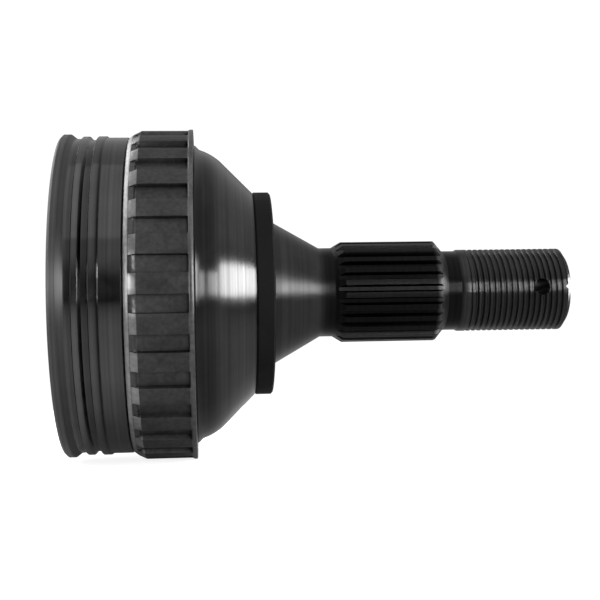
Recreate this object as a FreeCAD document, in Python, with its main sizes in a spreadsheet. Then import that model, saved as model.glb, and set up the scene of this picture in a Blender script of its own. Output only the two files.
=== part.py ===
"""Wheel-side fixed ball joint of a front driveshaft, without its shaft, boot and nut.

The X axis is the stub axle's axis and points to its threaded end. The origin is the
centre about which the joint bends. +Z is up and the split-pin hole lies along Y.
Sizes are millimetres and degrees.
"""
import FreeCAD, Part
import math
import os

import Sketcher

SIZES = {
    # Ball set
    "pitch_radius": 28.0,         # joint centre to ball centre, joint straight
    "ball_dia": 15.08,
    "ball_phase": 30.0,           # first ball, turned about X from +Z
    "track_offset": 3.0,          # track centres stand this far each side of the joint centre
    "track_gap": 0.16,            # ball to track, all round
    "sphere_gap": 0.15,           # cage to bell, and cage to inner race
    # Cage
    "cage_drop": 2.25,            # cage's inner sphere below the pitch radius
    "cage_wall": 4.85,
    "cage_width": 28.0,
    "window_gap": 0.3,            # ball to window, each side along X
    "window_length": 19.6,
    "window_corner": 3.5,
    # Inner race
    "race_width": 22.0,
    "bore_dia": 22.0,             # over the tips of the bore's teeth
    "bore_tooth_depth": 1.0,
    "bore_tooth_space": 1.55,
    "bore_chamfer": 1.1,
    # Retaining ring for the shaft, a round wire in a groove of the inner race
    "clip_wire": 1.8,
    "clip_stand": 0.5,            # the wire's inside stands this far inside the teeth's roots
    "clip_slack": 0.1,
    "clip_inset": 2.6,
    "clip_opening": 36.0,
    # Bell
    "track_wall": 5.49,
    "rim_depth": 19.3,            # rim face to joint centre
    "land_depth": 12.0,           # mouth end of the spherical lands to joint centre
    "mouth_angle": 45.0,
    "pocket_radius": 12.0,
    "pocket_depth": 33.0,
    "rim_chamfer": 0.6,
    "lip_height": 0.85,
    "lip_width": 2.1,
    "lip_fall": 1.5,              # slope from the lip down to the first groove
    "rim_groove_depth": 0.3,
    "rim_groove_width": 1.7,
    "bead_height": 0.3,
    "bead_width": 1.6,
    "bead_fall": 0.8,             # slope from the bead down to the boot's groove
    "boot_groove_depth": 0.6,
    "boot_groove_width": 1.5,
    "band_height": 0.35,
    "band_width": 2.5,
    "edge_bevel": 0.25,
    "step_bevel": 0.5,            # edge of the step that the tone ring rests against
    "ring_lead": 2.0,             # tone ring's first face, ahead of the joint centre
    "seat_drop": 2.15,            # tone ring's seat below the bell's cylinder
    "seat_run": 0.4,
    "shoulder_bevel": 1.1,
    "shoulder_run": 5.25,
    "shoulder_round": 15.0,
    "cone_run": 8.4,
    "cone_angle": 45.0,
    "nose_radius": 26.75,
    # Tone ring
    "ring_width": 16.2,
    "ring_wall": 3.85,
    "ring_teeth": 29.0,
    "ring_gap": 4.35,
    "ring_gap_depth": 1.3,
    "hoop_bevel_run": 1.2,        # solid hoop ahead of the teeth
    "hoop_bevel_rise": 0.8,
    "hoop_run": 1.0,
    "tooth_bevel_run": 1.4,
    "tooth_bevel_rise": 0.95,
    "collar_width": 1.2,
    "collar_height": 0.3,
    # Seal ring
    "seal_step": 3.75,            # seal's seat below the cone's small end
    "seal_wall": 3.85,
    "seal_width": 4.6,
    "seal_round": 0.4,
    "bearing_gap": 0.3,           # the bearing's shoulder stands past the seal
    # Stub axle
    "root_radius": 19.1,
    "root_run": 12.75,
    "neck_radius": 11.85,
    "neck_run": 3.35,
    "spline_lead": 2.6,
    "spline_radius": 13.4,
    "spline_run": 24.9,
    "spline_bevel": 2.3,
    "spline_teeth": 25.0,
    "spline_depth": 1.05,
    "spline_root_space": 0.95,
    "spline_tip_space": 2.05,
    "relief_radius": 10.65,
    "relief_run": 3.7,
    "thread_bevel": 0.6,
    "thread_radius": 11.0,
    "thread_run": 27.75,
    "end_bevel_run": 1.2,
    "end_bevel_rise": 1.7,
    "pin_hole_dia": 4.4,
    "pin_hole_inset": 8.1,
    "notch_width": 3.5,
    "notch_depth": 1.9,
    "centre_hole_radius": 2.4,
    "centre_hole_depth": 3.4,
}

# Radii and stations that follow from the driving sizes. A formula uses names from
# SIZES and names given above it.
PLACES = {
    "ball_radius": "ball_dia / 2",
    "track_radius": "ball_radius + track_gap",
    "path_radius": "sqrt(pitch_radius ^ 2 + track_offset ^ 2)",
    "cage_inside": "pitch_radius - cage_drop",
    "cage_outside": "cage_inside + cage_wall",
    "cage_half": "cage_width / 2",
    "bell_inside": "cage_outside + sphere_gap",
    "race_outside": "cage_inside - sphere_gap",
    "race_half": "race_width / 2",
    "bore_radius": "bore_dia / 2",
    "bore_root": "bore_radius + bore_tooth_depth",
    "clip_ring": "bore_root - clip_stand + clip_wire / 2",
    "clip_x": "clip_inset - race_half",
    "clip_seat": "clip_ring + clip_wire / 2 + clip_slack",
    # Bell, from the rim inwards
    "bell_radius": "path_radius + track_radius + track_wall",
    "rim_x": "-rim_depth",
    "lip_radius": "bell_radius + lip_height",
    "lip_end": "rim_x + lip_width",
    "groove_radius": "bell_radius - rim_groove_depth",
    "groove_x": "lip_end + lip_fall",
    "groove_end": "groove_x + rim_groove_width",
    "bead_radius": "bell_radius + bead_height",
    "bead_end": "groove_end + bead_width",
    "boot_radius": "bell_radius - boot_groove_depth",
    "boot_x": "bead_end + bead_fall",
    "boot_end": "boot_x + boot_groove_width",
    "band_radius": "bell_radius + band_height",
    "band_end": "boot_end + band_width",
    "ring_x": "-ring_lead",
    "seat_radius": "bell_radius - seat_drop",
    "ring_end": "ring_x + ring_width",
    "seat_end": "ring_end + seat_run",
    "shoulder_x": "seat_end + shoulder_bevel",
    "shoulder_radius": "seat_radius - shoulder_bevel",
    "cone_x": "shoulder_x + shoulder_run",
    "cone_end": "cone_x + cone_run",
    "cone_radius": "nose_radius + cone_run * tan(cone_angle)",
    "seal_seat": "nose_radius - seal_step",
    "seal_end": "cone_end + seal_width",
    "bearing_x": "seal_end + bearing_gap",
    # Bell's hollow
    "land_radius": "sqrt(bell_inside ^ 2 - land_depth ^ 2)",
    "mouth_radius": "land_radius + (rim_depth - land_depth) * tan(mouth_angle)",
    "pocket_x": "sqrt(bell_inside ^ 2 - pocket_radius ^ 2)",
    # Tone ring and seal ring
    "ring_radius": "seat_radius + ring_wall",
    "hoop_radius": "ring_radius - tooth_bevel_rise",
    "hoop_x": "ring_x + hoop_bevel_run",
    "tooth_x": "hoop_x + hoop_run",
    "ring_root": "ring_radius - ring_gap_depth",
    "collar_x": "ring_end - collar_width",
    "collar_radius": "ring_radius + collar_height",
    "seal_radius": "seal_seat + seal_wall",
    # Stub axle, from the bearing's shoulder outwards
    "neck_x": "bearing_x + root_run",
    "neck_end": "neck_x + neck_run",
    "spline_x": "neck_end + spline_lead",
    "spline_end": "spline_x + spline_run",
    "relief_x": "spline_end + spline_bevel",
    "relief_end": "relief_x + relief_run",
    "thread_x": "relief_end + thread_bevel",
    "thread_end": "thread_x + thread_run",
    "axle_end": "thread_end + end_bevel_run",
    "end_radius": "thread_radius - end_bevel_rise",
    "pin_hole_x": "axle_end - pin_hole_inset",
    "spline_root": "spline_radius - spline_depth",
}

FULL_TURN = 360.0
TRACK_SWEEP = 170.0      # each outer track runs from the mouth to the pocket
RACE_SWEEP = 120.0       # each inner track runs past both faces of the inner race
BALL_COUNT = 6
BORE_TEETH = 23

doc = FreeCAD.newDocument("CvJoint")


# ---------------------------------------------------------------- sizes

def fill_sheet():
    """The driving sizes, one named cell each."""
    sheet = doc.addObject("Spreadsheet::Sheet", "Sizes")
    for row, (name, value) in enumerate(SIZES.items(), start=1):
        sheet.set(f"A{row}", name)
        sheet.set(f"B{row}", str(value))
        sheet.setAlias(f"B{row}", name)
    doc.recompute()
    return sheet


def named(formula):
    """A formula with each size's name led back to the object that holds it."""
    words = []
    word = ""
    for letter in formula + " ":
        if letter.isalnum() or letter in "_.":
            word += letter
            continue
        if word in SIZES:
            word = "Sizes." + word
        elif word in PLACES:
            word = "Places." + word
        words.append(word + letter)
        word = ""
    return "".join(words).strip()


def fill_places():
    """The radii and stations worked out from the sheet."""
    places = doc.addObject("App::VarSet", "Places")
    for name, formula in PLACES.items():
        places.addProperty("App::PropertyFloat", name, "Places")
        places.setExpression(name, named(formula))
    doc.recompute()
    return places


sizes = fill_sheet()
places = fill_places()


def value(formula):
    """The formula's number, for a drawing's first guess and for plain Part work."""
    return float(places.evalExpression(named(formula)))


# ---------------------------------------------------------------- drawing helpers

def new_body(name):
    body = doc.addObject("PartDesign::Body", name)
    body.Label = name
    return body


def origin_feature(body, role):
    for feature in body.Origin.OriginFeatures:
        if feature.Role == role:
            return feature
    raise ValueError(role)


def new_sketch(body, name, plane, station=None, turn=None):
    """A sketch on one of the body's own planes, moved along and turned about its normal."""
    sketch = body.newObject("Sketcher::SketchObject", name)
    sketch.AttachmentSupport = [(origin_feature(body, plane), "")]
    sketch.MapMode = "FlatFace"
    if station is not None:
        sketch.setExpression("AttachmentOffset.Base.z", named(station))
    if turn is not None:
        sketch.setExpression("AttachmentOffset.Rotation.Angle", named(turn))
    return sketch


def hold(sketch, item, end, across, up):
    """Ties a point to its two formulas, or to an axis where a formula is plain 0."""
    for kind, axis, formula in (("DistanceX", -2, across), ("DistanceY", -1, up)):
        if formula == "0":
            sketch.addConstraint(Sketcher.Constraint("PointOnObject", item, end, axis))
            continue
        index = sketch.addConstraint(Sketcher.Constraint(kind, item, end, value(formula)))
        sketch.setExpression(f"Constraints[{index}]", named(formula))


def draw_outline(sketch, corners):
    """A closed outline through the corners. A corner with a third formula starts an arc
    of that radius, bulging away from the sketch's origin; the others start straight edges."""
    points = [FreeCAD.Vector(value(corner[0]), value(corner[1]), 0) for corner in corners]
    starts = []
    for i, corner in enumerate(corners):
        ends = points[i], points[(i + 1) % len(corners)]
        if len(corner) == 2:
            edge, start = Part.LineSegment(*ends), 1
        else:
            edge, start = outward_arc(*ends, value(corner[2]))
        sketch.addGeometry(edge, False)
        starts.append(start)
    for i, corner in enumerate(corners):
        after = (i + 1) % len(corners)
        sketch.addConstraint(Sketcher.Constraint("Coincident", i, 3 - starts[i], after, starts[after]))
        hold(sketch, i, starts[i], corner[0], corner[1])
        if len(corner) == 3:
            index = sketch.addConstraint(Sketcher.Constraint("Radius", i, value(corner[2])))
            sketch.setExpression(f"Constraints[{index}]", named(corner[2]))


def outward_arc(start, end, radius):
    """The arc, drawn anticlockwise, and which of its ends lies at the start."""
    middle = (start + end) * 0.5
    inward = FreeCAD.Vector(start.y - end.y, end.x - start.x, 0).normalize()
    if inward.dot(middle) > 0:
        inward = inward * -1
    half_chord = (end - start).Length / 2
    centre = middle + inward * math.sqrt(radius ** 2 - half_chord ** 2)
    angles = [math.atan2(point.y - centre.y, point.x - centre.x) for point in (start, end)]
    first = 1
    if math.sin(angles[1] - angles[0]) < 0:
        angles.reverse()
        first = 2
    if angles[1] < angles[0]:
        angles[1] += 2 * math.pi
    circle = Part.Circle(centre, FreeCAD.Vector(0, 0, 1), radius)
    return Part.ArcOfCircle(circle, angles[0], angles[1]), first


def draw_circle(sketch, across, up, radius):
    centre = FreeCAD.Vector(value(across), value(up), 0)
    circle = Part.Circle(centre, FreeCAD.Vector(0, 0, 1), value(radius))
    item = sketch.addGeometry(circle, False)
    hold(sketch, item, 3, across, up)
    index = sketch.addConstraint(Sketcher.Constraint("Radius", item, value(radius)))
    sketch.setExpression(f"Constraints[{index}]", named(radius))


def turned(body, kind, name, sketch, angle=FULL_TURN, both_ways=False):
    """A revolved solid or cut about the sketch's level axis."""
    feature = body.newObject(kind, name)
    feature.Profile = sketch
    feature.ReferenceAxis = (sketch, ["H_Axis"])
    feature.Midplane = both_ways
    feature.Angle = angle
    doc.recompute()
    return feature


def pocket(body, name, sketch, length, reverse=False, both_ways=False):
    feature = body.newObject("PartDesign::Pocket", name)
    feature.Profile = sketch
    feature.Midplane = both_ways
    feature.Reversed = reverse
    feature.setExpression("Length", named(length))
    doc.recompute()
    return feature


def repeat(body, name, feature, count):
    """The feature repeated evenly about the X axis."""
    pattern = body.newObject("PartDesign::PolarPattern", name)
    pattern.Originals = [feature]
    pattern.Axis = (origin_feature(body, "X_Axis"), [""])
    pattern.Angle = FULL_TURN
    pattern.Occurrences = count
    body.Tip = pattern
    doc.recompute()
    return pattern


# ---------------------------------------------------------------- outer race

def bell_profile():
    """Half of the bell and stub axle, from the rim's centre to the axle's end."""
    return [
        ("rim_x", "0"),
        ("rim_x", "lip_radius - rim_chamfer"),
        ("rim_x + rim_chamfer", "lip_radius"),
        ("lip_end", "lip_radius"),
        ("groove_x", "groove_radius"),
        ("groove_end", "groove_radius"),
        ("groove_end", "bead_radius - edge_bevel"),
        ("groove_end + edge_bevel", "bead_radius"),
        ("bead_end", "bead_radius"),
        ("boot_x", "boot_radius"),
        ("boot_end", "boot_radius"),
        ("boot_end", "band_radius - edge_bevel"),
        ("boot_end + edge_bevel", "band_radius"),
        ("band_end - band_height", "band_radius"),
        ("band_end", "bell_radius"),
        ("ring_x - step_bevel", "bell_radius"),
        ("ring_x", "bell_radius - step_bevel"),
        ("ring_x", "seat_radius"),
        ("seat_end", "seat_radius"),
        ("shoulder_x", "shoulder_radius", "shoulder_round"),
        ("cone_x", "cone_radius"),
        ("cone_end", "nose_radius"),
        ("cone_end", "seal_seat"),
        ("bearing_x", "seal_seat"),
        ("bearing_x", "root_radius"),
        ("neck_x", "neck_radius"),
        ("neck_end", "neck_radius"),
        ("spline_x", "spline_radius"),
        ("spline_end", "spline_radius"),
        ("relief_x", "relief_radius"),
        ("relief_end", "relief_radius"),
        ("thread_x", "thread_radius"),
        ("thread_end", "thread_radius"),
        ("axle_end", "end_radius"),
        ("axle_end", "0"),
    ]


def hollow_profile():
    """Mouth cone, spherical lands and the pocket that clears the shaft's end."""
    return [
        ("rim_x", "0"),
        ("rim_x", "mouth_radius"),
        ("-land_depth", "land_radius", "bell_inside"),
        ("pocket_x", "pocket_radius"),
        ("pocket_depth", "pocket_radius"),
        ("pocket_depth", "0"),
    ]


def cut_tracks(body, station, sweep):
    """Six ball tracks, each a round channel swept about a centre off the joint centre."""
    sketch = new_sketch(body, "TrackSection", "YZ_Plane", station, "ball_phase")
    draw_circle(sketch, "0", "path_radius", "track_radius")
    track = turned(body, "PartDesign::Groove", "Track", sketch, sweep, both_ways=True)
    repeat(body, "Tracks", track, BALL_COUNT)


def cut_spline_spaces(body):
    """Tooth spaces of the hub spline, open into the necks at both ends."""
    sketch = new_sketch(body, "SplineSpace", "YZ_Plane", "neck_end", "90")
    draw_outline(sketch, [
        ("-spline_root_space / 2", "spline_root"),
        ("spline_root_space / 2", "spline_root"),
        ("(3 * spline_tip_space - spline_root_space) / 4", "spline_radius + spline_depth / 2"),
        ("(spline_root_space - 3 * spline_tip_space) / 4", "spline_radius + spline_depth / 2"),
    ])
    space = pocket(body, "SplineCut", sketch, "relief_x - neck_end", reverse=True)
    repeat(body, "Spline", space, int(SIZES["spline_teeth"]))


def make_outer_race():
    """Forged bell and stub axle in one piece, with its tracks, spline and axle end."""
    body = new_body("outer_race")
    outside = new_sketch(body, "BellProfile", "XZ_Plane")
    draw_outline(outside, bell_profile())
    turned(body, "PartDesign::Revolution", "BellAndStub", outside)
    inside = new_sketch(body, "HollowProfile", "XZ_Plane")
    draw_outline(inside, hollow_profile())
    turned(body, "PartDesign::Groove", "Hollow", inside)
    cut_tracks(body, "-track_offset", TRACK_SWEEP)
    cut_spline_spaces(body)

    hole = new_sketch(body, "PinHoleSection", "XZ_Plane")
    draw_circle(hole, "pin_hole_x", "0", "pin_hole_dia / 2")
    pocket(body, "PinHole", hole, "3 * thread_radius", both_ways=True)

    notch = new_sketch(body, "NotchSection", "XZ_Plane")
    draw_outline(notch, [
        ("axle_end - notch_depth", "0"),
        ("axle_end", "notch_width / 2"),
        ("axle_end", "-notch_width / 2"),
    ])
    pocket(body, "Notch", notch, "3 * thread_radius", both_ways=True)

    centre = new_sketch(body, "CentreHoleProfile", "XZ_Plane")
    draw_outline(centre, [
        ("axle_end - centre_hole_depth", "0"),
        ("axle_end", "centre_hole_radius"),
        ("axle_end", "0"),
    ])
    turned(body, "PartDesign::Groove", "CentreHole", centre)
    return body


# ---------------------------------------------------------------- pieces pressed on the bell

def make_abs_ring():
    """Toothed tone ring, pressed over its seat against the bell's step."""
    body = new_body("abs_ring")
    blank = new_sketch(body, "RingProfile", "XZ_Plane")
    draw_outline(blank, [
        ("ring_x", "seat_radius"),
        ("ring_x", "hoop_radius - hoop_bevel_rise"),
        ("hoop_x", "hoop_radius"),
        ("tooth_x", "hoop_radius"),
        ("tooth_x + tooth_bevel_run", "ring_radius"),
        ("collar_x", "ring_radius"),
        ("collar_x + collar_height", "collar_radius"),
        ("ring_end", "collar_radius"),
        ("ring_end", "seat_radius"),
    ])
    turned(body, "PartDesign::Revolution", "RingBlank", blank)
    gap = new_sketch(body, "GapSection", "YZ_Plane", "hoop_x", "90 + 180 / ring_teeth")
    draw_outline(gap, [
        ("-ring_gap / 2", "ring_root"),
        ("ring_gap / 2", "ring_root"),
        ("ring_gap / 2", "ring_radius + ring_gap_depth"),
        ("-ring_gap / 2", "ring_radius + ring_gap_depth"),
    ])
    cut = pocket(body, "Gap", gap, "collar_x - hoop_x", reverse=True)
    repeat(body, "Gaps", cut, int(SIZES["ring_teeth"]))
    return body


def make_seal_ring():
    """Rubber ring that seals against the wheel bearing."""
    body = new_body("seal_ring")
    section = new_sketch(body, "SealProfile", "XZ_Plane")
    draw_outline(section, [
        ("cone_end", "seal_seat"),
        ("cone_end", "seal_radius - seal_round"),
        ("cone_end + seal_round", "seal_radius"),
        ("seal_end - seal_round", "seal_radius"),
        ("seal_end", "seal_radius - seal_round"),
        ("seal_end", "seal_seat"),
    ])
    turned(body, "PartDesign::Revolution", "Seal", section)
    return body


# ---------------------------------------------------------------- ball set

def make_cage():
    """Spherical cage with one rounded window for each ball."""
    body = new_body("cage")
    shell = new_sketch(body, "CageProfile", "XZ_Plane")
    draw_outline(shell, [
        ("-cage_half", "sqrt(cage_inside ^ 2 - cage_half ^ 2)"),
        ("-cage_half", "sqrt(cage_outside ^ 2 - cage_half ^ 2)", "cage_outside"),
        ("cage_half", "sqrt(cage_outside ^ 2 - cage_half ^ 2)"),
        ("cage_half", "sqrt(cage_inside ^ 2 - cage_half ^ 2)", "cage_inside"),
    ])
    turned(body, "PartDesign::Revolution", "CageShell", shell)
    half_width = "(ball_radius + window_gap)"
    half_length = "window_length / 2"
    opening = new_sketch(body, "WindowSection", "XY_Plane")
    draw_rounded_window(opening, half_width, half_length, "window_corner")
    window = pocket(body, "Window", opening, "cage_outside + 2", reverse=True)
    repeat(body, "Windows", window, BALL_COUNT)
    x_axis = FreeCAD.Vector(1, 0, 0)
    body.Placement.Rotation = FreeCAD.Rotation(x_axis, value("ball_phase"))
    body.setExpression("Placement.Rotation.Angle", named("ball_phase"))
    return body


def draw_rounded_window(sketch, half_width, half_length, corner):
    """A rectangle about the sketch's origin with its four corners rounded."""
    sides = [(1, -1), (1, 1), (-1, 1), (-1, -1)]
    corners = []
    for across, up in sides:
        outer_x = f"{across} * {half_width}"
        inner_x = f"{across} * ({half_width} - {corner})"
        outer_y = f"{up} * {half_length}"
        inner_y = f"{up} * ({half_length} - {corner})"
        first, second = (inner_x, outer_y), (outer_x, inner_y)
        if across * up > 0:
            first, second = second, first
        corners += [(first[0], first[1], corner), second]
    draw_outline(sketch, corners)


def make_inner_race():
    """Star-shaped inner race with six tracks and a splined bore for the shaft."""
    body = new_body("inner_race")
    ring = new_sketch(body, "RaceProfile", "XZ_Plane")
    draw_outline(ring, [
        ("-race_half", "bore_radius + bore_chamfer"),
        ("-race_half", "sqrt(race_outside ^ 2 - race_half ^ 2)", "race_outside"),
        ("race_half", "sqrt(race_outside ^ 2 - race_half ^ 2)"),
        ("race_half", "bore_radius + bore_chamfer"),
        ("race_half - bore_chamfer", "bore_radius"),
        ("bore_chamfer - race_half", "bore_radius"),
    ])
    turned(body, "PartDesign::Revolution", "RaceBlank", ring)
    cut_tracks(body, "track_offset", RACE_SWEEP)

    space = new_sketch(body, "BoreSpace", "YZ_Plane", "-race_half", "0")
    draw_outline(space, [
        ("-bore_tooth_space / 2", "bore_radius - bore_tooth_depth"),
        ("bore_tooth_space / 2", "bore_radius - bore_tooth_depth"),
        ("bore_tooth_space / 3", "bore_root"),
        ("-bore_tooth_space / 3", "bore_root"),
    ])
    cut = pocket(body, "BoreCut", space, "race_width", reverse=True)
    repeat(body, "BoreTeeth", cut, BORE_TEETH)

    groove = new_sketch(body, "ClipGrooveProfile", "XZ_Plane")
    draw_outline(groove, [
        ("clip_x - clip_wire / 2 - clip_slack", "bore_radius - bore_tooth_depth"),
        ("clip_x - clip_wire / 2 - clip_slack", "clip_seat"),
        ("clip_x + clip_wire / 2 + clip_slack", "clip_seat"),
        ("clip_x + clip_wire / 2 + clip_slack", "bore_radius - bore_tooth_depth"),
    ])
    turned(body, "PartDesign::Groove", "ClipGroove", groove)
    return body


def make_shaft_circlip():
    """Open wire ring that holds the shaft in the inner race."""
    body = new_body("shaft_circlip")
    wire = new_sketch(body, "WireSection", "XZ_Plane")
    draw_circle(wire, "clip_x", "clip_ring", "clip_wire / 2")
    ring = turned(body, "PartDesign::Revolution", "Wire", wire, both_ways=True)
    ring.setExpression("Angle", named("360 - clip_opening"))
    doc.recompute()
    return body


def make_ball(number):
    """One ball, resting where its two tracks cross."""
    ball = doc.addObject("Part::Sphere", f"ball_{number}")
    ball.Label = f"ball_{number}"
    ball.setExpression("Radius", named("ball_radius"))
    turn = f"(ball_phase + {number - 1} * {FULL_TURN / BALL_COUNT})"
    ball.setExpression("Placement.Base.y", named(f"-pitch_radius * sin({turn})"))
    ball.setExpression("Placement.Base.z", named(f"pitch_radius * cos({turn})"))
    return ball


# ---------------------------------------------------------------- build and write

CUTS = ("PartDesign::Groove", "PartDesign::Pocket")


def check_document():
    """Stops on a failed feature, and on a cut that removed nothing."""
    for thing in doc.Objects:
        if "Invalid" in thing.State or "Error" in thing.State:
            raise RuntimeError(f"{thing.Name} failed: {thing.State}")
        if thing.TypeId in CUTS and thing.Shape.Volume >= thing.BaseFeature.Shape.Volume:
            raise RuntimeError(f"{thing.Name} cuts nothing")


def write_parts(parts):
    os.makedirs("parts", exist_ok=True)
    for part in parts:
        if part.Shape.isNull() or not part.Shape.isValid():
            raise RuntimeError(f"{part.Label} has no valid shape")
        part.Shape.exportStep(f"parts/{part.Label}.step")
        print(f"{part.Label}: {len(part.Shape.Solids)} solid, {part.Shape.Volume:.1f} mm3")


parts = [
    make_outer_race(),
    make_abs_ring(),
    make_seal_ring(),
    make_cage(),
    make_inner_race(),
    make_shaft_circlip(),
]
parts += [make_ball(number) for number in range(1, BALL_COUNT + 1)]
doc.recompute()
check_document()
write_parts(parts)
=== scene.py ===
"""Looks of the cv joint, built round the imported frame.

X is the stub axle's axis and points to its threaded end, +Z is up, lengths are metres.
"""
import math
from contextlib import contextmanager

import bmesh
import bpy
from mathutils import Matrix, Vector


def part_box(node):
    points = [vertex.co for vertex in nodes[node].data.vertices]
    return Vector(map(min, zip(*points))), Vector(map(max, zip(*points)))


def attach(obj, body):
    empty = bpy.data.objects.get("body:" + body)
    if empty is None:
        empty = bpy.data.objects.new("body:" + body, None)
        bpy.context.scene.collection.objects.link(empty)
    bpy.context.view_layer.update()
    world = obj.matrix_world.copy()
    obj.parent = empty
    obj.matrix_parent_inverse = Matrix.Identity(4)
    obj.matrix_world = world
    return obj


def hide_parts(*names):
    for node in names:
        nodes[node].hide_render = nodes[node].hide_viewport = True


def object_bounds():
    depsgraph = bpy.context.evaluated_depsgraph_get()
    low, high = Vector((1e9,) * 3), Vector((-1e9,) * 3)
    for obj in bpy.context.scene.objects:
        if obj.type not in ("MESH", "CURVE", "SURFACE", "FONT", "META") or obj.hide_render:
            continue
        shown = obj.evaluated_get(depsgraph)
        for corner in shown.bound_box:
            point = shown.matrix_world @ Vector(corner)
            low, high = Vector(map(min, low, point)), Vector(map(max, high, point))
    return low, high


MM = 0.001

bpy.context.scene.view_settings.view_transform = "Standard"

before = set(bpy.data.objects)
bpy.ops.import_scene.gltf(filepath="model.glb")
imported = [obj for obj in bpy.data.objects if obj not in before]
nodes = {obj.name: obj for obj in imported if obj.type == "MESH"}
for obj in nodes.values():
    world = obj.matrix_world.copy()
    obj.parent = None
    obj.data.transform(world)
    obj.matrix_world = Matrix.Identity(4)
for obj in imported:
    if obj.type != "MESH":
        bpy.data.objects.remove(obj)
cad_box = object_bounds()


# ---------------------------------------------------------------- helpers

def add_object(name, data):
    made = bpy.data.objects.new(name, data)
    bpy.context.scene.collection.objects.link(made)
    return made


@contextmanager
def mesh_edit(mesh):
    """The mesh as a bmesh, written back at the end."""
    work = bmesh.new()
    work.from_mesh(mesh)
    yield work
    work.to_mesh(mesh)
    work.free()


def face_outwards(mesh):
    with mesh_edit(mesh) as work:
        bmesh.ops.recalc_face_normals(work, faces=work.faces)


def smooth_by_angle(mesh, limit):
    """Smooth faces, with the edges sharper than the limit kept hard."""
    with mesh_edit(mesh) as work:
        for face in work.faces:
            face.smooth = True
        for edge in work.edges:
            edge.smooth = len(edge.link_faces) == 2 and edge.calc_face_angle(math.pi) < limit


def apply_modifiers(piece):
    graph = bpy.context.evaluated_depsgraph_get()
    result = bpy.data.meshes.new_from_object(piece.evaluated_get(graph))
    piece.modifiers.clear()
    piece.data = result


class Nodes:
    """A node tree, built by short calls that return nodes or their sockets."""

    def __init__(self, tree):
        self.tree = tree

    def node(self, kind, links=None, **settings):
        """Adds a node. A value in links is a socket to join or a constant to set."""
        made = self.tree.nodes.new(kind)
        for key, value in settings.items():
            setattr(made, key, value)
        for key, value in (links or {}).items():
            if isinstance(value, bpy.types.NodeSocket):
                self.tree.links.new(value, made.inputs[key])
            else:
                made.inputs[key].default_value = value
        return made

    def math(self, operation, *values):
        numbered = dict(enumerate(values))
        return self.node("ShaderNodeMath", numbered, operation=operation).outputs[0]

    def product(self, first, *others):
        for other in others:
            first = self.math("MULTIPLY", first, other)
        return first

    def spread(self, value, low, high, to_low, to_high):
        """The value's range from low to high, stretched to a new range and held in it."""
        return self.node("ShaderNodeMapRange", {
            "Value": value, "From Min": low, "From Max": high,
            "To Min": to_low, "To Max": to_high,
        }).outputs[0]


# ---------------------------------------------------------------- camera and stage

LOOK_AT = Vector((42.0, 0.0, 0.0)) * MM
VIEW_DISTANCE = 300.0 * MM
VIEW_YAW = math.radians(4.75)         # the bell's end is nearer to the camera
VIEW_DROP = math.radians(3.5)         # the camera stands a little below the axle's axis
VIEW_ROLL = math.radians(1.15)
VIEW_DOWN = 1.96 * MM                 # aim this far under the axis, so that it sits high
LENS = 67.1                           # millimetres, as is the sensor's width
SENSOR_WIDTH = 36.0
CLIP_START = 0.01

FLOOR_HALF = 0.35                     # half of the floor's side
FLOOR_TONE = 0.8
FLOOR_GLOW = 0.85                     # lifts the floor to near white where it is looked at
FLOOR_GLOSS_GLOW = 0.04               # share of that glow which the part's gloss shows
# The floor's tone in the part's gloss is a painted pool of light: pale near the part, dark far
# off.
FLOOR_FADE = (0.05, 0.34)             # distances from the origin between which the floor's
FLOOR_POOL_DIMMING = (-0.12, -0.78)           # tone changes, by these amounts, in gloss

ROOM_LEVELS = (0.16, 0.42)            # height of a direction: 0 is level, 1 is upright
ROOM_STRENGTHS = (0.03, 0.50)         # up to the first of those levels, and past the second
BACKDROP_STRENGTH = 1.05              # just over white

# Each lamp stands in this direction from the middle of the part: degrees to the right of
# the view, degrees up, then its distance, width and height in metres, and its power.
LAMPS = {
    "RightLamp": (90.0, 6.5, 0.80, 0.40, 0.23, 2.9),
    "RearRightLamp": (122.0, 3.0, 0.80, 0.28, 0.14, 2.0),
    "FrontRightLamp": (57.0, 4.5, 0.80, 0.25, 0.20, 1.35),
    "ViewLamp": (18.5, 4.0, 0.90, 0.06, 0.45, 2.8),
    "LeftLamp": (-66.0, 3.0, 0.80, 0.16, 0.18, 0.60),
    "TopLamp": (-10.0, 68.0, 1.60, 2.00, 2.00, 3.0),
    "MouthLamp": (-120.0, 18.0, 0.90, 1.00, 0.90, 6.5),
}


def direction(right, up):
    """A unit vector so many radians to the right of -Y and so many up."""
    return Vector((
        math.sin(right) * math.cos(up), -math.cos(right) * math.cos(up), math.sin(up),
    ))


def add_camera():
    data = bpy.data.cameras.new("Camera")
    data.lens = LENS
    data.sensor_width = SENSOR_WIDTH
    data.clip_start = CLIP_START
    camera = add_object("Camera", data)
    place = LOOK_AT + direction(-VIEW_YAW, -VIEW_DROP) * VIEW_DISTANCE
    aim = LOOK_AT - Vector((0, 0, VIEW_DOWN))
    turn = (aim - place).to_track_quat("-Z", "Y").to_matrix().to_4x4()
    roll = Matrix.Rotation(-VIEW_ROLL, 4, "Z")
    camera.matrix_world = Matrix.Translation(place) @ turn @ roll
    bpy.context.scene.camera = camera


def add_lamp(name, right, up, distance, width, height, power):
    """A soft rectangular lamp that faces the middle of the part."""
    data = bpy.data.lights.new(name, "AREA")
    data.shape = "RECTANGLE"
    data.size = width
    data.size_y = height
    data.energy = power
    away = direction(math.radians(right), math.radians(up)) * distance
    lamp = add_object(name, data)
    lamp.location = LOOK_AT + away
    lamp.rotation_euler = (-away).to_track_quat("-Z", "Y").to_euler()


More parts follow.
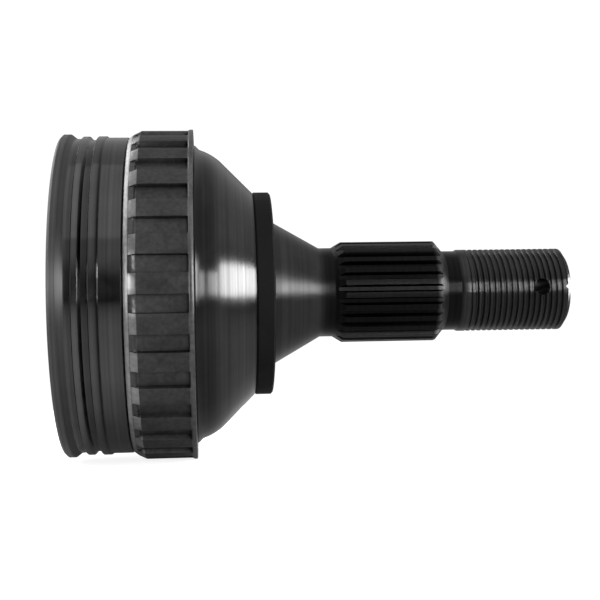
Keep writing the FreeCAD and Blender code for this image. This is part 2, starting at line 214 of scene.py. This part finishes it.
def add_floor():
    bottom = cad_box[0][2]
    half = FLOOR_HALF
    sides = ((-half, -half), (half, -half), (half, half), (-half, half))
    corners = [(x, y, bottom) for x, y in sides]
    mesh = bpy.data.meshes.new("Floor")
    mesh.from_pydata(corners, [], [(0, 1, 2, 3)])
    floor = add_object("Floor", mesh)
    mesh.materials.append(floor_material())


def floor_material():
    """Pale floor that the camera sees as near white, with the part's shadow left on it.
    In the part's gloss its tone is a painted pool of light, which fades out with distance as the
    edge of a table's light does."""
    material = bpy.data.materials.new("PaleFloor")
    material.use_nodes = True
    material.node_tree.nodes.clear()
    n = Nodes(material.node_tree)
    path = n.node("ShaderNodeLightPath").outputs
    place = n.node("ShaderNodeNewGeometry").outputs["Position"]
    distance = n.node("ShaderNodeVectorMath", {0: place}, operation="LENGTH").outputs["Value"]
    # painted pool of light: the floor's tone in gloss falls with distance from the part
    pool_dimming = n.spread(distance, *FLOOR_FADE, *FLOOR_POOL_DIMMING)
    tone = n.math("MULTIPLY_ADD", path["Is Glossy Ray"], pool_dimming, FLOOR_TONE)
    matt = n.node("ShaderNodeBsdfDiffuse", {"Color": tone}).outputs[0]
    glow = n.node("ShaderNodeEmission", {"Strength": FLOOR_GLOW}).outputs[0]
    glowing = n.node("ShaderNodeAddShader", {0: matt, 1: glow}).outputs[0]
    in_gloss = n.math("MULTIPLY", path["Is Glossy Ray"], FLOOR_GLOSS_GLOW)
    share = n.math("MAXIMUM", path["Is Camera Ray"], in_gloss)
    surface = n.node("ShaderNodeMixShader", {0: share, 1: matt, 2: glowing}).outputs[0]
    n.node("ShaderNodeOutputMaterial", {"Surface": surface})
    return material


def set_world():
    """White for the camera. For the part, a room that is dim at eye level and paler
    above and below."""
    world = bpy.data.worlds.new("Studio")
    bpy.context.scene.world = world
    world.use_nodes = True
    world.node_tree.nodes.clear()
    n = Nodes(world.node_tree)
    toward = n.node("ShaderNodeTexCoord").outputs["Generated"]
    height = n.math("ABSOLUTE", n.node("ShaderNodeSeparateXYZ", {0: toward}).outputs["Z"])
    strength = n.spread(height, *ROOM_LEVELS, *ROOM_STRENGTHS)
    room = n.node("ShaderNodeBackground", {"Strength": strength}).outputs[0]
    white = n.node(
        "ShaderNodeBackground", {"Color": (1, 1, 1, 1), "Strength": BACKDROP_STRENGTH},
    ).outputs[0]
    seen = n.node("ShaderNodeLightPath").outputs["Is Camera Ray"]
    surface = n.node("ShaderNodeMixShader", {0: seen, 1: room, 2: white}).outputs[0]
    n.node("ShaderNodeOutputWorld", {"Surface": surface})


add_camera()
set_world()
add_floor()
for name, numbers in LAMPS.items():
    add_lamp(name, *numbers)


# ---------------------------------------------------------------- threaded axle end

THREAD_PITCH = 1.5 * MM
THREAD_START = 85.6 * MM              # the first groove runs out of the metal here
THREAD_RADIUS = 11.0 * MM
THREAD_DEPTH = 0.62 * MM
THREAD_ROOT = 0.38 * MM               # width of the groove's floor
THREAD_FLANK = math.radians(30)       # slope of each side of the groove
GROOVE_OVERSHOOT = 0.25 * MM          # the cutter stands this far outside the metal
AXLE_BEVEL = 1.2 * MM
THREAD_STEPS = 72                     # cutter sections in each turn
WELD = 0.0005 * MM                    # points closer than this are one point
BELL_HARD_EDGE = math.radians(30)


def thread_cutter(end):
    """A ridge of V section wound round the axle, to be taken out of the metal."""
    outside = THREAD_RADIUS + GROOVE_OVERSHOOT
    turns = (end - THREAD_START) / THREAD_PITCH
    count = int(turns * THREAD_STEPS)
    points = []
    for step in range(count + 1):
        angle = 2 * math.pi * step / THREAD_STEPS
        x = THREAD_START + THREAD_PITCH * step / THREAD_STEPS
        runout = min(1.0, (step + 1) / THREAD_STEPS, (count - step + 1) / THREAD_STEPS)
        sink = THREAD_DEPTH * runout
        half_root = THREAD_ROOT / 2 * runout
        half_mouth = half_root + (sink + GROOVE_OVERSHOOT) * math.tan(THREAD_FLANK)
        root = THREAD_RADIUS - sink
        section = (
            (-half_mouth, outside), (-half_root, root), (half_root, root), (half_mouth, outside),
        )
        for along, radius in section:
            points.append((x + along, radius * math.cos(angle), radius * math.sin(angle)))
    faces = [(0, 1, 2, 3), tuple(4 * count + k for k in (3, 2, 1, 0))]
    for step in range(count):
        for k in range(4):
            a, b = 4 * step + k, 4 * step + (k + 1) % 4
            faces.append((a, a + 4, b + 4, b))
    mesh = bpy.data.meshes.new("ThreadCutter")
    mesh.from_pydata(points, [], faces)
    face_outwards(mesh)
    return add_object("ThreadCutter", mesh)


def welded_copy(node, name):
    """The node's shape as a new mesh object, free to be changed."""
    source = node.data
    mesh = bpy.data.meshes.new(name)
    mesh.from_pydata(
        [v.co[:] for v in source.vertices], [], [p.vertices[:] for p in source.polygons])
    with mesh_edit(mesh) as work:
        bmesh.ops.remove_doubles(work, verts=work.verts, dist=WELD)
        bmesh.ops.recalc_face_normals(work, faces=work.faces)
    return add_object(name, mesh)


def cut(piece, cutter):
    """Takes the cutter out of the piece for good."""
    modifier = piece.modifiers.new("Cut", "BOOLEAN")
    modifier.operation = "DIFFERENCE"
    modifier.solver = "EXACT"
    modifier.object = cutter
    apply_modifiers(piece)
    bpy.data.objects.remove(cutter)


def make_bell():
    """The outer race with its real thread cut in."""
    bell = welded_copy(nodes["outer_race"], "bell_and_axle")
    cut(bell, thread_cutter(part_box("outer_race")[1].x - AXLE_BEVEL))
    smooth_by_angle(bell.data, BELL_HARD_EDGE)
    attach(bell, "bell")
    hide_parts("outer_race")
    return bell


bell = make_bell()


# ---------------------------------------------------------------- tone ring

RING_TEETH = 29
RING_TURN = math.pi                   # where the first tooth's middle is
TOOTH_HALF = math.radians(3.27)       # half of a tooth, seen from the axis
GAP_HALF = math.pi / RING_TEETH - math.radians(3.33)
ARC_STEPS = 3                         # pieces of arc on each tooth and in each gap
RING_ROUND = 0.10 * MM                # edges are rubbed round by this much
RING_ROUNDED_EDGE = math.radians(25)  # edges sharper than this are rounded
RING_HARD_EDGE = math.radians(28)
# Stations from the ring's first face, with the radius on a tooth and in a gap.
RING_ROWS = [
    (0.0, 41.3, 41.3), (1.1, 42.1, 42.1), (2.3, 42.68, 42.1), (2.7, 42.88, 41.75),
    (3.05, 43.05, 41.75), (14.8, 43.05, 41.75), (15.05, 43.12, 43.12),
    (15.35, 43.35, 43.35), (16.2, 43.35, 43.35), (16.2, 39.2, 39.2), (0.0, 39.2, 39.2),
]
ON_TOOTH, IN_GAP = 1, 2               # places of the two radii in a row


def ring_columns():
    """The ring's angles in order, each with the radius that it takes from a row."""
    columns = []
    for tooth in range(RING_TEETH):
        middle = 2 * math.pi * tooth / RING_TEETH + RING_TURN
        gap = middle + math.pi / RING_TEETH
        for centre, half, kind in ((middle, TOOTH_HALF, ON_TOOTH), (gap, GAP_HALF, IN_GAP)):
            for step in range(ARC_STEPS + 1):
                columns.append((centre + half * (2 * step / ARC_STEPS - 1), kind))
    return columns


def make_ring():
    """Tone ring with a bevel on each tooth's front and rubbed edges."""
    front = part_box("abs_ring")[0].x
    columns = ring_columns()
    points = []
    for angle, kind in columns:
        for row in RING_ROWS:
            radius = row[kind] * MM
            points.append((
                front + row[0] * MM, radius * math.cos(angle), radius * math.sin(angle)))
    rows = len(RING_ROWS)
    faces = []
    for column in range(len(columns)):
        here = column * rows
        after = (column + 1) % len(columns) * rows
        for row in range(rows):
            up = (row + 1) % rows
            faces.append((here + row, here + up, after + up, after + row))
    mesh = bpy.data.meshes.new("tone_ring")
    mesh.from_pydata(points, [], faces)
    face_outwards(mesh)
    ring = add_object("tone_ring", mesh)
    rounding = ring.modifiers.new("Round", "BEVEL")
    rounding.width = RING_ROUND
    rounding.segments = 2
    rounding.use_clamp_overlap = False
    rounding.limit_method = "ANGLE"
    rounding.angle_limit = RING_ROUNDED_EDGE
    apply_modifiers(ring)
    smooth_by_angle(ring.data, RING_HARD_EDGE)
    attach(ring, "bell")
    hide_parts("abs_ring")
    return ring


tone_ring = make_ring()


# ---------------------------------------------------------------- materials

NOISE_SPAN = (0.3, 0.7)               # where nearly all of a noise's values lie
EDGE_SPAN = (0.995, 0.85)             # how alike the real and the rounded normals are
SHADING_SAMPLES = 6
TURNED_GLOSS = 0.8                    # a lathe's marks stretch the gloss along the axle
TURNED_GLOSS_TURN = 0.25              # a quarter turn: across the marks, not along them

# Tables that follow the axle's axis: a station in millimetres and the value there.
STEEL_TONE = [
    (-20.0, 0.18), (-19.0, 0.15), (-17.3, 0.14), (-17.0, 0.13),                 # rim
    (-15.8, 0.14), (-15.6, 0.11), (-14.1, 0.11), (-13.9, 0.15),                 # boot grooves
    (-12.4, 0.14), (-11.9, 0.10), (-10.2, 0.10), (-10.0, 0.14),
    # painted shade: a near black band from -8.0 to -7.6 darkens the band's falling edge so that
    # it shows no glint
    (-8.1, 0.13), (-8.0, 0.02), (-7.6, 0.02), (-7.5, 0.122), (-3.4, 0.122),     # cylinder
    (14.0, 0.05), (17.5, 0.055), (21.0, 0.10), (30.0, 0.12),                    # cone
    (34.0, 0.08), (46.0, 0.08), (48.0, 0.022), (54.0, 0.018), (77.0, 0.018),    # axle, spline
    (77.8, 0.14), (80.2, 0.08), (80.4, 0.018), (83.8, 0.018),                   # chamfer, neck
    (84.5, 0.065), (114.0, 0.070),                                              # thread
]
STEEL_ROUGH = [
    (-20.0, 0.50), (-15.9, 0.50), (-15.5, 0.17), (-8.2, 0.17), (-7.6, 0.15), (-3.4, 0.15),
    (14.0, 0.22), (30.0, 0.20), (34.0, 0.33), (47.0, 0.33), (50.0, 0.42), (77.0, 0.42),
    (82.0, 0.34), (84.5, 0.32), (114.0, 0.32),
]
# The hoop's chamfer (0.46, from -2.0 to -1.0) and the collar (0.17 to 0.19) are painted pale:
# painted highlights.
RING_TONE = [
    (-2.0, 0.46), (-1.0, 0.46), (-0.8, 0.13), (0.9, 0.13), (1.1, 0.10),
    (12.8, 0.095), (13.0, 0.17), (14.3, 0.19),
]
RING_ROUGH = [
    (-2.0, 0.38), (-1.0, 0.38), (-0.8, 0.30), (0.9, 0.30), (1.1, 0.52), (12.8, 0.52),
    (13.0, 0.36), (14.3, 0.36),
]
RING_BEVEL = [(-2.0, 0.0), (-1.0, 0.0), (-0.9, 1.0), (0.95, 1.0), (1.1, 0.0), (15.0, 0.0)]
TOOTH_FRONTS = (42.12 * MM, 42.2 * MM)  # only the teeth reach past these radii
# painted highlight: tone added on the teeth's front bevels
FRONT_HIGHLIGHT_TONE = 0.26


class Paint(Nodes):
    """The nodes of a material that is laid out in the part's own coordinates."""

    def __init__(self, name):
        self.material = bpy.data.materials.new(name)
        self.material.use_nodes = True
        super().__init__(self.material.node_tree)
        self.shader = self.tree.nodes["Principled BSDF"]
        self.place = self.node("ShaderNodeTexCoord").outputs["Object"]
        self.x, self.y, self.z = self.node("ShaderNodeSeparateXYZ", {0: self.place}).outputs

    def radius(self):
        """Distance from the axle's axis."""
        squares = (self.math("MULTIPLY", side, side) for side in (self.y, self.z))
        return self.math("SQRT", self.math("ADD", *squares))

    def noise(self, scale, detail, vector=None):
        if vector is None:
            vector = self.place
        links = {"Vector": vector, "Scale": scale, "Detail": detail}
        return self.node("ShaderNodeTexNoise", links).outputs["Fac"]

    def turned_lines(self, spacing):
        """Noise that only changes along the axis and outwards, as a lathe's marks do."""
        vector = self.node("ShaderNodeCombineXYZ", {0: self.x, 1: self.radius()}).outputs[0]
        return self.noise(scale=1.0 / spacing, detail=3.0, vector=vector)

    def vary(self, noise, low, high):
        return self.spread(noise, *NOISE_SPAN, low, high)

    def along(self, stops):
        """A value from a table that follows the axle's axis."""
        low, high = stops[0][0], stops[-1][0]
        share = self.spread(self.x, low * MM, high * MM, 0.0, 1.0)
        ramp = self.node("ShaderNodeValToRGB", {0: share})
        elements = ramp.color_ramp.elements
        while len(elements) > 1:
            elements.remove(elements[-1])
        for number, (station, tone) in enumerate(stops):
            spot = (station - low) / (high - low)
            element = elements[0] if number == 0 else elements.new(spot)
            element.position = spot
            element.color = (tone, tone, tone, 1)
        return ramp.outputs[0]

    def edges(self, size):
        """1 on sharp edges and 0 on open faces: where a painted highlight goes."""
        rounded = self.node(
            "ShaderNodeBevel", {"Radius": size}, samples=SHADING_SAMPLES).outputs[0]
        normal = self.node("ShaderNodeNewGeometry").outputs["Normal"]
        likeness = self.node(
            "ShaderNodeVectorMath", {0: rounded, 1: normal}, operation="DOT_PRODUCT")
        return self.spread(likeness.outputs["Value"], *EDGE_SPAN, 0.0, 1.0)

    def painted_crevice_shade(self, distance, closed, darkest):
        """Painted shade in hollows: 1 in the open, down to darkest where the openness falls to
        closed.
        """
        openness = self.node(
            "ShaderNodeAmbientOcclusion", {"Distance": distance}, samples=SHADING_SAMPLES)
        return self.spread(openness.outputs["AO"], closed, 1.0, darkest, 1.0)

    def finish(self, tone, rough, metallic, relief, depth):
        """Joins the shader up. Relief is a height from 0 to 1, and depth its full height."""
        bump = self.node(
            "ShaderNodeBump", {"Height": relief, "Strength": 1.0, "Distance": depth})
        self.tree.links.new(tone, self.shader.inputs["Base Color"])
        if isinstance(rough, bpy.types.NodeSocket):
            self.tree.links.new(rough, self.shader.inputs["Roughness"])
        else:
            self.shader.inputs["Roughness"].default_value = rough
        self.tree.links.new(bump.outputs[0], self.shader.inputs["Normal"])
        self.shader.inputs["Metallic"].default_value = metallic
        return self.material

    def stretch_gloss(self, amount, turn):
        """Gloss drawn out in one direction, measured round the axle's axis."""
        self.shader.inputs["Anisotropic"].default_value = amount
        self.shader.inputs["Anisotropic Rotation"].default_value = turn
        tangent = self.node("ShaderNodeTangent", direction_type="RADIAL", axis="X")
        self.tree.links.new(tangent.outputs[0], self.shader.inputs["Tangent"])


def turned_steel():
    """Forging turned all over: paler lips and cone, dark axle."""
    p = Paint("turned_steel")
    coarse = p.turned_lines(spacing=0.9 * MM)
    fine = p.turned_lines(spacing=0.16 * MM)
    patches = p.noise(scale=90.0, detail=4.0)
    tone = p.product(
        p.along(STEEL_TONE),
        p.vary(coarse, 0.75, 1.2),
        p.vary(patches, 0.85, 1.1),
        # painted shade: the hollows are darkened
        p.painted_crevice_shade(1.5 * MM, closed=0.3, darkest=0.5),
        # painted highlight: the tone rises up to 1.9 times on sharp edges
        p.spread(p.edges(0.25 * MM), 0.0, 1.0, 1.0, 1.9),
    )
    rough = p.math("ADD", p.along(STEEL_ROUGH), p.vary(patches, -0.05, 0.06))
    p.stretch_gloss(TURNED_GLOSS, TURNED_GLOSS_TURN)
    return p.finish(tone, rough, metallic=1.0, relief=fine, depth=0.007 * MM)


def ring_steel():
    """Sintered tone ring, dark. Its hoop and collar are painted pale and the teeth's front
    bevels paler still, as painted highlights; painted shade darkens its hollows.
    """
    p = Paint("ring_steel")
    # painted highlight on the teeth's front bevels
    front_highlight = p.product(
        p.along(RING_BEVEL), p.spread(p.radius(), *TOOTH_FRONTS, 0.0, 1.0), FRONT_HIGHLIGHT_TONE)
    speckle = p.noise(scale=900.0, detail=3.0)
    cloud = p.noise(scale=120.0, detail=3.0)
    tone = p.product(
        p.math("ADD", p.along(RING_TONE), front_highlight),
        p.vary(speckle, 0.8, 1.15),
        p.vary(cloud, 0.8, 1.15),
        # painted shade: the hollows are darkened
        p.painted_crevice_shade(1.2 * MM, closed=0.3, darkest=0.5),
    )
    rough = p.math("ADD", p.along(RING_ROUGH), p.vary(cloud, -0.05, 0.05))
    return p.finish(tone, rough, metallic=1.0, relief=speckle, depth=0.012 * MM)


def seal_rubber():
    p = Paint("seal_rubber")
    grain = p.noise(scale=1500.0, detail=3.0)
    cloud = p.noise(scale=150.0, detail=3.0)
    p.shader.inputs["Specular IOR Level"].default_value = 0.2
    return p.finish(
        p.vary(cloud, 0.004, 0.010), p.vary(cloud, 0.6, 0.8),
        metallic=0.0, relief=grain, depth=0.03 * MM)


def ground_steel(name, darkest, palest, rough, line):
    """Hard steel, ground: fine marks round the axis and a light oil film."""
    p = Paint(name)
    fine = p.turned_lines(spacing=line)
    cloud = p.noise(scale=110.0, detail=4.0)
    # painted shade: the hollows are darkened
    tone = p.product(
        p.vary(cloud, darkest, palest), p.painted_crevice_shade(1.5 * MM, closed=0.4, darkest=0.35))
    # painted highlight: the tone is lifted on sharp edges
    tone = p.math("ADD", tone, p.product(p.edges(0.2 * MM), 0.15))
    return p.finish(
        tone, p.vary(cloud, rough - 0.05, rough + 0.08),
        metallic=1.0, relief=fine, depth=0.008 * MM)


def ball_steel():
    """Polished ball with hair scratches."""
    p = Paint("ball_steel")
    drawn_out = p.node("ShaderNodeMapping", {0: p.place, "Scale": (900.0, 60.0, 900.0)})
    hair = p.noise(scale=1.0, detail=4.0, vector=drawn_out.outputs[0])
    cloud = p.noise(scale=200.0, detail=3.0)
    return p.finish(
        p.vary(cloud, 0.66, 0.78), p.vary(hair, 0.08, 0.16),
        metallic=1.0, relief=hair, depth=0.002 * MM)


def spring_steel():
    p = Paint("spring_steel")
    cloud = p.noise(scale=500.0, detail=3.0)
    return p.finish(
        p.vary(cloud, 0.05, 0.12), 0.32, metallic=1.0, relief=cloud, depth=0.01 * MM)


def dress(piece, material):
    piece.data.materials.clear()
    piece.data.materials.append(material)


dress(bell, turned_steel())
dress(tone_ring, ring_steel())
dress(nodes["seal_ring"], seal_rubber())
dress(nodes["cage"], ground_steel(
    "cage_steel", darkest=0.26, palest=0.36, rough=0.32, line=0.2 * MM))
dress(nodes["inner_race"], ground_steel(
    "race_steel", darkest=0.36, palest=0.48, rough=0.24, line=0.15 * MM))
dress(nodes["shaft_circlip"], spring_steel())
polished = ball_steel()
for name, node in nodes.items():
    if name.startswith("ball_"):
        dress(node, polished)
